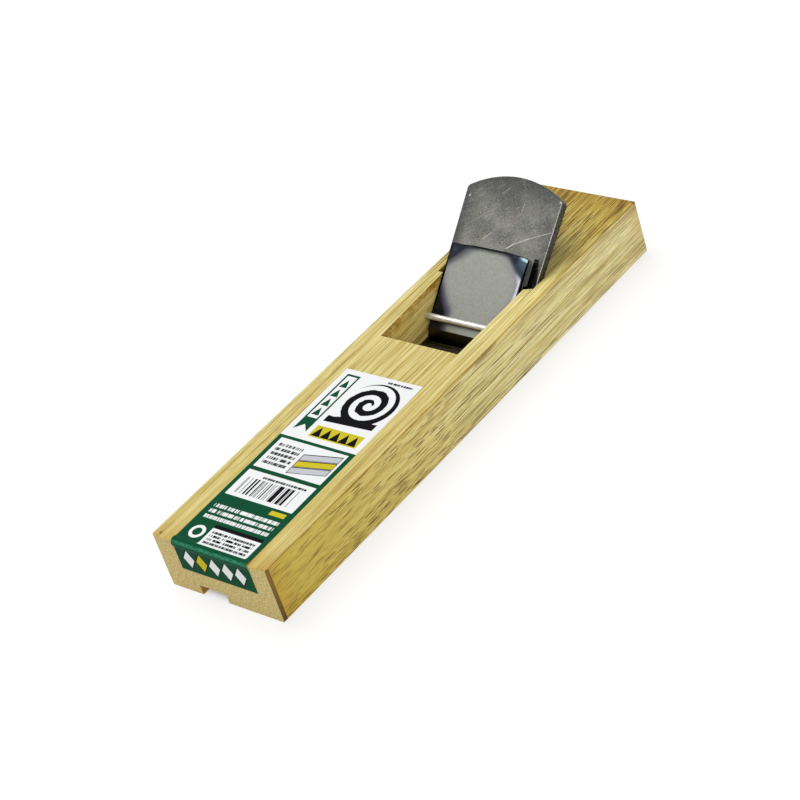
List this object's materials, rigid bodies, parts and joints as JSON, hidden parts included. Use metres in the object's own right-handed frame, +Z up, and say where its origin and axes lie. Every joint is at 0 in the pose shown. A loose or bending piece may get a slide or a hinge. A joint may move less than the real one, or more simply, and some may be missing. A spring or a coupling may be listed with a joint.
{
  "type": "japanese wooden chamfer plane",
  "caption": "Pull plane with an oak body, a wedged steel blade with chipbreaker and pin, and a guide groove in its sole for chamfering boards.",
  "frame": {"origin": "middle of the sole, midway between tail and head and between both sides", "axes": "+X to the right seen from the tail, +Y along the body from the tail towards the head that the blade leans to, +Z up"},
  "size_m": [0.052, 0.2127, 0.0458],
  "materials": {
    "oak": "fine planed, dry",
    "blade_iron": "dark patina with fine scratches",
    "blade_steel": "fine ground, polished edge",
    "chipbreaker_steel": "belt-ground face, blue-black sides",
    "pin_steel": "polished",
    "label_paper": "satin printed paper",
    "stainless": "brushed",
    "screw_steel": "bright"
  },
  "bodies": {
    "plane_body": {"oak_body": "oak", "retaining_pin": "pin_steel", "paper_label": "label_paper", "left_wear_strip": "stainless", "right_wear_strip": "stainless", "left_strip_screw_1": "screw_steel", "left_strip_screw_2": "screw_steel", "left_strip_screw_3": "screw_steel", "right_strip_screw_1": "screw_steel", "right_strip_screw_2": "screw_steel", "right_strip_screw_3": "screw_steel"},
    "blade": {"blade_iron": "blade_iron", "blade_steel": "blade_steel"},
    "chipbreaker_plate": {"chipbreaker": "chipbreaker_steel"}
  },
  "joints": [
    {"name": "blade_slide", "type": "slide", "parent": "plane_body", "child": "blade", "axis": [0, 0.766, 0.6428], "range_m": [0, 0.045]},
    {"name": "chipbreaker_slide", "type": "slide", "parent": "plane_body", "child": "chipbreaker_plate", "axis": [0, 0.766, 0.6428], "range_m": [0, 0.04]}
  ]
}
